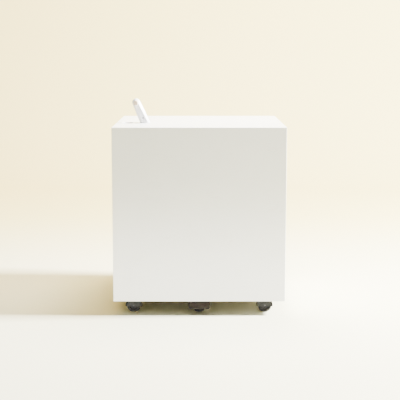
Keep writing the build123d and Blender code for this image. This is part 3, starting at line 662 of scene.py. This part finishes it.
def model_hood():
    """A moulded shroud over both wheels, with a rimmed cheek each side and the swivel boss."""
    reach = TREAD_RADIUS + TYRE_ROOM + HOOD_WALL
    hood = cylinder("hood", reach, -HOOD_HALF, HOOD_HALF, 128, "Y", (TRAIL, 0, AXLE_Z))
    with editing(hood, "EDGE"):
        pick("edges", lambda e: abs(abs(middle(e).y) - HOOD_HALF * MM) < SAME)
        bpy.ops.mesh.bevel(offset=HOOD_EDGE * MM, segments=7, affect="EDGES")
    with editing(hood):
        pick("faces", lambda f: abs(f.normal.y) > 0.999 and len(f.verts) > 20)
        bpy.ops.mesh.inset(thickness=1.4 * MM)
        bpy.ops.mesh.inset(thickness=0.5 * MM, depth=-0.55 * MM)
    boss = [(8.0, 28.0), (13.2, 33.2), (13.8, 34.0), (14.0, 34.8)] + arc((13.0, 43.0), 1.0, 0, 90, 4)
    combine(hood, turned("boss", boss, sides=96), "UNION")
    with editing(hood):
        bpy.ops.mesh.select_all(action="SELECT")
        bpy.ops.mesh.bisect(
            plane_co=(0, 0, SKIRT_Z * MM), plane_no=(0, 0, 1), use_fill=True, clear_inner=True
        )
    for side in (-1, 1):
        near, far = sorted(side * end for end in BAY)
        combine(hood, cylinder("bay", TREAD_RADIUS + TYRE_ROOM, near, far, 128, "Y", (TRAIL, 0, AXLE_Z)))
    soften(tidy(hood), 0.4, 2, 50)
    combine(hood, cylinder("axle_hole", AXLE_RADIUS + 0.02, -20, 20, 40, "Y", (TRAIL, 0, AXLE_Z)))
    combine(hood, cylinder("kingpin_hole", 4.06, 37.5, 50, 48))
    return tidy(hood)


def build_castors():
    tyre, hub, hood = model_tyre(), model_hub(), model_hood()
    for castor in CASTORS:
        stand = castor_matrix(castor)
        shroud = copy_of(hood, "shroud_" + castor, stand)
        finished(shroud, "grey_nylon", "castor_" + castor, "castor_hood_" + castor)
        for letter, side in (("a", -1), ("b", 1)):
            lay = Matrix.Rotation(-side * QUARTER, 4, "X")
            at = stand @ Matrix.Translation(Vector((TRAIL, side * WHEEL_MIDDLE, AXLE_Z)) * MM) @ lay
            wheel = f"{castor}_{letter}"
            body = "wheel_" + wheel
            finished(copy_of(tyre, "tread_" + wheel, at), "black_rubber", body, "tyre_" + wheel)
            finished(copy_of(hub, "spoked_hub_" + wheel, at), "black_nylon", body, "wheel_hub_" + wheel)
    for master in (tyre, hub, hood):
        bpy.data.objects.remove(master)


# ---- screws, in millimetres ---------------------------------------------------------------------
SCREW_RADIUS, THREAD_DEPTH, PITCH, POINT = 2.0, 0.35, 1.4, 1.6
SHEET = 2.5                             # thickness of castor plates and lock bracket
PLATE_SPOT = 16                         # from the middle of a castor plate to its screws
BRACKET_INSET = 8
FLANGE_SPOT = (18, 17)                  # from the middle of the handle's flange to its screws
POST_SPOT = 6                           # from the middle of a post to its screws
PAN_LENGTH, FLANGE_SCREW_LENGTH, POST_SCREW_LENGTH = 14.0, 12.0, 45.0


def cross_recess(depth, width, reach):
    """The tapered cross that a driver fits, opening downwards at z = 0."""
    arms = []
    for turn in (0, QUARTER):
        arm = cube("arm", (-reach, -width / 2, -1), (reach, width / 2, depth))
        with editing(arm):
            pick("faces", lambda f: f.normal.z > 0.9)
            bpy.ops.transform.resize(value=(0.45, 0.7, 1), center_override=(0, 0, depth * MM))
        arms.append(place(arm, Matrix.Rotation(turn, 4, "Z")))
    return combine(arms[0], arms[1], "UNION")


def pan_screw(length):
    """Domed head hanging below z = 0, threaded shank above."""
    outline = [(1.4, -2.4), (2.4, -2.15), (3.2, -1.7), (3.75, -1.05), (4.0, -0.5), (4.0, 0)]
    outline += thread(0.0, length)
    screw = turned("pan_screw", outline, sides=40)
    recess = place(cross_recess(1.5, 1.0, 2.1), Matrix.Translation((0, 0, -2.4 * MM)))
    return combine(screw, recess)


def flat_screw(length):
    """Countersunk head flush with z = 0, threaded shank above."""
    outline = [(3.9, 0), (4.0, 0.15), (2.05, 2.2)] + thread(2.4, length)
    return combine(turned("flat_screw", outline, sides=40), cross_recess(1.4, 1.0, 2.1))


def thread(start, length):
    """Stations of a cut thread that ends in a short point."""
    crest, root = SCREW_RADIUS, SCREW_RADIUS - THREAD_DEPTH
    points, at = [(crest, start + 0.4)], start + 1.2
    while at + PITCH < length - POINT:
        points += [(root, at), (root, at + 0.45), (crest, at + 0.85), (crest, at + 1.0)]
        at += PITCH
    return points + [(crest - 0.4, length - POINT), (0.4, length)]


def four_spots(x, y, step_x, step_y):
    """Four places about x, y in metres, that far off in millimetres."""
    return [(x + i * step_x * MM, y + j * step_y * MM) for i in (-1, 1) for j in (-1, 1)]


def build_screws():
    """One screw of each kind, copied to where the CAD solids of its node stand."""
    plate_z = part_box("castor_plate_front_left")[1].z - SHEET * MM
    pan = pan_screw(PAN_LENGTH)
    spots = []
    for castor in CASTORS:
        spots += four_spots(*plan_middle(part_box("castor_plate_" + castor)), PLATE_SPOT, PLATE_SPOT)
    place_screws(pan, "castor_screw_set", "castor_screws", spots, plate_z)
    low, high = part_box("lock_bracket")
    inset = BRACKET_INSET * MM
    spots = [(x, y) for x in (low.x + inset, high.x - inset) for y in (low.y + inset, high.y - inset)]
    place_screws(pan, "bracket_screw_set", "lock_screws", spots, high.z - SHEET * MM)

    flat = flat_screw(FLANGE_SCREW_LENGTH)
    spots = four_spots(*plan_middle(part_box("handle_base")), *FLANGE_SPOT)
    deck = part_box("top_board")[1].z
    place_screws(flat, "handle_screw_set", "handle_screws", spots, deck, Matrix.Rotation(pi, 4, "X"))

    long = flat_screw(POST_SCREW_LENGTH)
    base_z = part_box("base_board")[0].z
    spots = []
    for castor in CASTORS:
        x, y = plan_middle(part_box("corner_post_" + castor))
        slant = 1 if castor.endswith("left") != castor.startswith("front") else -1
        spots += [(x + k * POST_SPOT * MM, y + k * slant * POST_SPOT * MM) for k in (-1, 1)]
    place_screws(long, "base_screw_set", "base_screws", spots, base_z)
    for master in (pan, flat, long):
        bpy.data.objects.remove(master)


def place_screws(master, name, stands_for, spots, z, flip=Matrix()):
    """A copy at each spot, each driven home at another angle, joined in one piece."""
    placed = []
    for index, (x, y) in enumerate(spots):
        turn = Matrix.Rotation(radians(37 * index + 12), 4, "Z")
        placed.append(copy_of(master, f"{name}_{index}", Matrix.Translation((x, y, z)) @ flip @ turn))
    finished(join(name, *placed), "zinc_steel", "case", stands_for)


# ---- folding handle, in millimetres and degrees -------------------------------------------------
LEAN = 24.0
PIVOT_ABOVE_DECK = 13.5
LEVER_LENGTH, TIP_RADIUS, FOOT_RADIUS = 56.0, 10.5, 12.7
LEVER_FACET, LEVER_END = 6.2, -44       # the end is cut to the foot's outline
GRIP_FROM_PIVOT = LEVER_LENGTH - TIP_RADIUS
FLANGE = (24, 23, 3)
LUG_HALF, LUG_HALF_WIDTH = 9, 5


def leaning(angle):
    return Matrix.Rotation(radians(-angle), 4, "Y")


def handle_matrix(lean=LEAN):
    """Where the handle's pivot stands, turned to the lever's lean."""
    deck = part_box("top_board")[1].z
    spot = (*plan_middle(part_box("handle_base")), deck + PIVOT_ABOVE_DECK * MM)
    return Matrix.Translation(spot) @ leaning(lean)


def foot_outline():
    """What the lever's foot may fill: flat beneath, round about the pivot on the side that it folds to."""
    outline = cube("flat_foot", (0, -12, -FOOT_RADIUS), (18.4, 12, 70))
    combine(outline, cylinder("round_foot", FOOT_RADIUS, -12, 12, 128, "Y"), "UNION")
    shank = cube("shank", (-20, -12, 0.5), (22, 12, LEVER_LENGTH + 6))
    return combine(outline, place(shank, leaning(LEAN)), "UNION")


def model_lever():
    """A tapered cast lever: rounded tip, broad facets down both faces, flat foot that stops it upright."""
    lever = cube("lever", (-FOOT_RADIUS, -4.8, LEVER_END), (FOOT_RADIUS, 4.8, LEVER_LENGTH))
    with editing(lever):
        pick("faces", lambda f: f.normal.z > 0.9)
        bpy.ops.transform.resize(value=(0.787, 1, 1), center_override=(0, 0, LEVER_LENGTH * MM))
        pick("faces", lambda f: f.normal.z < -0.9)
        bpy.ops.transform.resize(value=(1.176, 1, 1), center_override=(0, 0, LEVER_END * MM))
    with editing(lever, "EDGE"):
        pick("edges", lambda e: runs_along(e, 1) and middle(e).z > GRIP_FROM_PIVOT * MM)
        bpy.ops.mesh.bevel(offset=9.6 * MM, segments=12, affect="EDGES")
    with editing(lever):
        pick("faces", lambda f: abs(f.normal.y) > 0.99)
        bpy.ops.mesh.inset(thickness=LEVER_FACET * MM, depth=LEVER_FACET * MM)
    place(lever, leaning(LEAN))
    combine(lever, foot_outline(), "INTERSECT")
    return place(lever, leaning(-LEAN))


def both_ends(half):
    """A bar's outline from the stations of its upper half."""
    return half + [(r, -z) for r, z in reversed(half)]


def build_handle():
    """The forked lever, its wooden grip with ferrule grooves, its pin and its base."""
    lever = model_lever()
    slot = cube("slot", (-40, -5.3, -60), (40, 5.3, 11))
    with editing(slot, "EDGE"):
        pick("edges", lambda e: runs_along(e, 0) and middle(e).z > 10 * MM)
        bpy.ops.mesh.bevel(offset=2.0 * MM, segments=4, affect="EDGES")
    combine(lever, slot)
    combine(lever, cylinder("pin_hole", 3.02, -20, 20, 48, "Y"))
    combine(lever, cylinder("grip_hole", 6.02, -20, 20, 64, "Y", (0, 0, GRIP_FROM_PIVOT)))
    tidy(lever)
    soften(lever, 0.8, 3, 26)
    finished(place(lever, handle_matrix()), "white_coat", "handle", "handle_lever")

    end = [(1.2, 29.0), (4.0, 28.85)] + arc((4.6, 27.6), 1.4, 62, 0, 5)
    ferrule = [(6.0, 12.2), (5.75, 12.0), (5.75, 11.6), (6.0, 11.4)]
    grip = turned("grip", both_ends(end + ferrule), sides=72)
    across = Matrix.Rotation(QUARTER, 4, "X")
    lay = handle_matrix() @ Matrix.Translation((0, 0, GRIP_FROM_PIVOT * MM)) @ across
    finished(place(grip, lay), "beech", "handle", "handle_grip")

    half = [(0.5, 10.6), (1.6, 10.45), (2.4, 10.1), (2.85, 9.7), (3.0, 9.2)]
    pin = turned("pin", both_ends(half), sides=48)
    finished(place(pin, handle_matrix() @ across), "zinc_steel", "handle", "handle_pin")
    build_handle_base()


def build_handle_base():
    """The let-in flange with eased edges and the round-topped lug."""
    half_x, half_y, thick = FLANGE
    plate = cube("flange", (-half_x, -half_y, -thick), (half_x, half_y, 0))
    with editing(plate, "EDGE"):
        pick("edges", lambda e: runs_along(e, 2))
        bpy.ops.mesh.bevel(offset=6 * MM, segments=8, affect="EDGES")
        pick("edges", lambda e: abs(middle(e).z) < SAME)
        bpy.ops.mesh.bevel(offset=0.4 * MM, segments=3, affect="EDGES")
    lug = cube(
        "lug", (-LUG_HALF, -LUG_HALF_WIDTH, -1), (LUG_HALF, LUG_HALF_WIDTH, PIVOT_ABOVE_DECK + LUG_HALF)
    )
    with editing(lug, "EDGE"):
        pick("edges", lambda e: runs_along(e, 1) and middle(e).z > 0)
        bpy.ops.mesh.bevel(offset=(LUG_HALF - 0.02) * MM, segments=12, affect="EDGES")
    soften(lug, 0.5, 3, 40)
    combine(plate, lug, "UNION")
    sink = [(4.02, 0.5), (4.02, 0), (2.05, -2.2), (2.05, -4)]
    for x, y in four_spots(0, 0, *FLANGE_SPOT):
        combine(plate, place(turned("sink", sink, 40), Matrix.Translation((x, y, 0))))
    combine(plate, cylinder("pin_hole", 3.06, -9, 9, 48, "Y", (0, 0, PIVOT_ABOVE_DECK)))
    deck = handle_matrix(0) @ Matrix.Translation((0, 0, -PIVOT_ABOVE_DECK * MM))
    finished(place(plate, deck), "white_coat", "case", "handle_base")


# ---- floor lock, in millimetres and degrees -----------------------------------------------------
TREAD_SLOPE, LIP_Y, LIP_Z = 26.0, -222.0, 16.0
TREAD_HALF, TREAD_LENGTH, TREAD_DEPTH, TREAD_CORNER = 28.5, 35, 5, 9
RIM = 3
BARS, FIRST_BAR, BAR_STEP, BAR_HALF = 5, 8.0, 5.2, 0.9
PIVOT_Y, LINK_Y, LINK_Z = -155.0, -174.0, 30.0
ARM = (8.5, 11.5)                       # across one arm, from the middle of the pedal
ARM_HALF, ARM_BEND_Y = 4.5, -188
ARM_TIP = (-15.5, -3.9)                 # how far forward and down it runs from the bend
SLOT_HALF_TRAVEL = 0.7


def model_tread():
    """A dished tread with a raised rim and five grip bars, set at its slope."""
    tread = cube("tread", (-TREAD_HALF, 0, 0), (TREAD_HALF, TREAD_LENGTH, TREAD_DEPTH))
    hollow = cube("hollow", (-TREAD_HALF + RIM, RIM, RIM), (TREAD_HALF - RIM, 45, 20))
    for obj, radius in ((tread, TREAD_CORNER), (hollow, TREAD_CORNER - RIM)):
        with editing(obj, "EDGE"):
            front = min(v.co.y for v in obj.data.vertices)
            pick("edges", lambda e: runs_along(e, 2) and abs(middle(e).y - front) < SAME)
            bpy.ops.mesh.bevel(offset=radius * MM, segments=10, affect="EDGES")
    combine(tread, hollow)
    soften(tread, 0.8, 4, 35)
    bars = []
    for index in range(BARS):
        y = FIRST_BAR + BAR_STEP * index
        half = 19.0 if index else 15.5
        bar = cube("bar", (-half, y - BAR_HALF, 2.6), (half, y + BAR_HALF, 3.9))
        with editing(bar, "EDGE"):
            pick("edges", lambda e: runs_along(e, 2))
            bpy.ops.mesh.bevel(offset=0.85 * MM, segments=5, affect="EDGES")
            pick("edges", lambda e: middle(e).z > 3.8 * MM)
            bpy.ops.mesh.bevel(offset=0.4 * MM, segments=2, affect="EDGES")
        bars.append(bar)
    tread = join("tread", tread, *bars)
    slope = Matrix.Rotation(radians(TREAD_SLOPE), 4, "X")
    return place(tread, Matrix.Translation((0, LIP_Y * MM, LIP_Z * MM)) @ slope)


def model_arm(side):
    """One arm: a round eye at the pivot, a slot for the cross pin, and a thin tip under the tread."""
    near, far = sorted(side * edge for edge in ARM)
    arm = cube("arm", (near, ARM_BEND_Y, LINK_Z - ARM_HALF), (far, PIVOT_Y + ARM_HALF, LINK_Z + ARM_HALF))
    forward, down = ARM_TIP
    with editing(arm):
        pick("faces", lambda f: f.normal.y < -0.9)
        bpy.ops.mesh.extrude_region_move(TRANSFORM_OT_translate={"value": (0, forward * MM, down * MM)})
    with editing(arm, "VERT"):
        pick("verts", lambda v: v.co.y < (ARM_BEND_Y + forward / 2) * MM)
        tip = (0, (ARM_BEND_Y + forward) * MM, (LINK_Z + down) * MM)
        bpy.ops.transform.resize(value=(1, 1, 0.52), center_override=tip)
    with editing(arm, "EDGE"):
        pick("edges", lambda e: runs_along(e, 0) and middle(e).y > (PIVOT_Y + ARM_HALF / 2) * MM)
        bpy.ops.mesh.bevel(offset=(ARM_HALF - 0.01) * MM, segments=12, affect="EDGES")
    combine(arm, cylinder("pivot_hole", 2.56, -20, 20, 40, "X", (0, PIVOT_Y, LINK_Z)))
    slot = cylinder("slot", 2.9, -20, 20, 40, "X", (0, LINK_Y, LINK_Z))
    with editing(slot, "VERT"):
        for way in (-1, 1):
            pick("verts", lambda v: (v.co.y - LINK_Y * MM) * way > 1e-5)
            bpy.ops.transform.translate(value=(0, way * SLOT_HALF_TRAVEL * MM, 0))
    return combine(arm, slot)


def build_pedal():
    """The tread on two arms that pass either side of the plunger."""
    pedal = join("pedal", model_tread(), model_arm(-1), model_arm(1))
    finished(pedal, "pedal_coat", "lock_pedal_body", "lock_pedal")


def build_pad():
    """The rubber foot, ribbed round its side and dished beneath."""
    outline = [(5.02, 4.4), (5.02, 8.4), (10.8, 8.4), (11.6, 8.15), (12.0, 7.5)]
    for z in (6.4, 4.6):
        outline += [(12.0, z + 0.5), (11.5, z + 0.2), (11.5, z - 0.2), (12.0, z - 0.5)]
    outline += arc((10.5, 1.9), 1.5, 0, -90, 5) + [(8.4, 0.4), (8.0, 0.9), (5.4, 0.9), (5.0, 0.4)]
    pad = turned("pad", outline, sides=80)
    spot = (*plan_middle(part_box("lock_pad")), 0)
    finished(place(pad, Matrix.Translation(spot)), "black_rubber", "lock_plunger_body", "lock_pad")


# ---- the studio, in metres ----------------------------------------------------------------------
def build_sweep():
    """One sweep of paper: a floor that curves up into the backdrop."""
    near, far, half, bend, wall = -3.6, 2.2, 4.0, 0.9, 3.2
    steps = 16
    sweep = cube("paper_sweep", (-half / MM, near / MM, -10), (half / MM, far / MM, 0))
    with editing(sweep):
        pick("faces", lambda f: f.normal.z < 0.5)
        bpy.ops.mesh.delete(type="FACE")
    with editing(sweep, "EDGE"):
        pick("edges", lambda e: middle(e).y > far - 0.01)
        for step in range(steps):
            a, b = step / steps * QUARTER, (step + 1) / steps * QUARTER
            move = (0, bend * (sin(b) - sin(a)), bend * (cos(a) - cos(b)))
            bpy.ops.mesh.extrude_edges_move(TRANSFORM_OT_translate={"value": move})
        bpy.ops.mesh.extrude_edges_move(TRANSFORM_OT_translate={"value": (0, 0, wall)})
    smooth(sweep, 60)
    paper = studio("sweep_paper", rgb(0.82, 0.80, 0.60), rgb(0.80, 0.735, 0.38), start=0.15, end=1.5)
    sweep.data.materials.append(paper)


def light_room():
    """Air that looks pale but hardly lights, a key on the right, and faint lamps for the rest."""
    world = bpy.data.worlds.new("studio_air")
    bpy.context.scene.world = world
    world.use_nodes = True
    tree = world.node_tree
    seen = node(tree, "LightPath").outputs["Is Camera Ray"]
    air = tree.nodes["Background"]
    air.inputs["Color"].default_value = rgb(1.0, 0.95, 0.80)
    strength = node(tree, "MapRange", {0: seen, 3: 0.05, 4: 4.0}).outputs[0]
    tree.links.new(strength, air.inputs["Strength"])
    add_softbox("key", (3.3, -0.15, 2.3), (0, 0, 0.2), 0.5, 0.5, 1950, (1.0, 1.0, 0.99))
    add_softbox("deck_lamp", (0.05, 0.05, 1.25), (0, 0, 0.5), 0.5, 0.5, 32, (0.94, 0.97, 1.0))
    add_softbox(
        "apron_lamp", (-0.16, -1.1, 0.005), (-0.16, -0.225, 0.005), 1.3, 0.008, 2.0, (1.0, 0.99, 0.96), 46
    )
    add_softbox("backdrop_lamp", (0.0, 1.6, 3.4), (0, 3.1, 0.8), 5.0, 0.8, 340, (1.0, 0.68, 0.22))


add_camera()
finish_cad_nodes()
build_castors()
build_screws()
build_handle()
build_pedal()
build_pad()
build_sweep()
light_room()
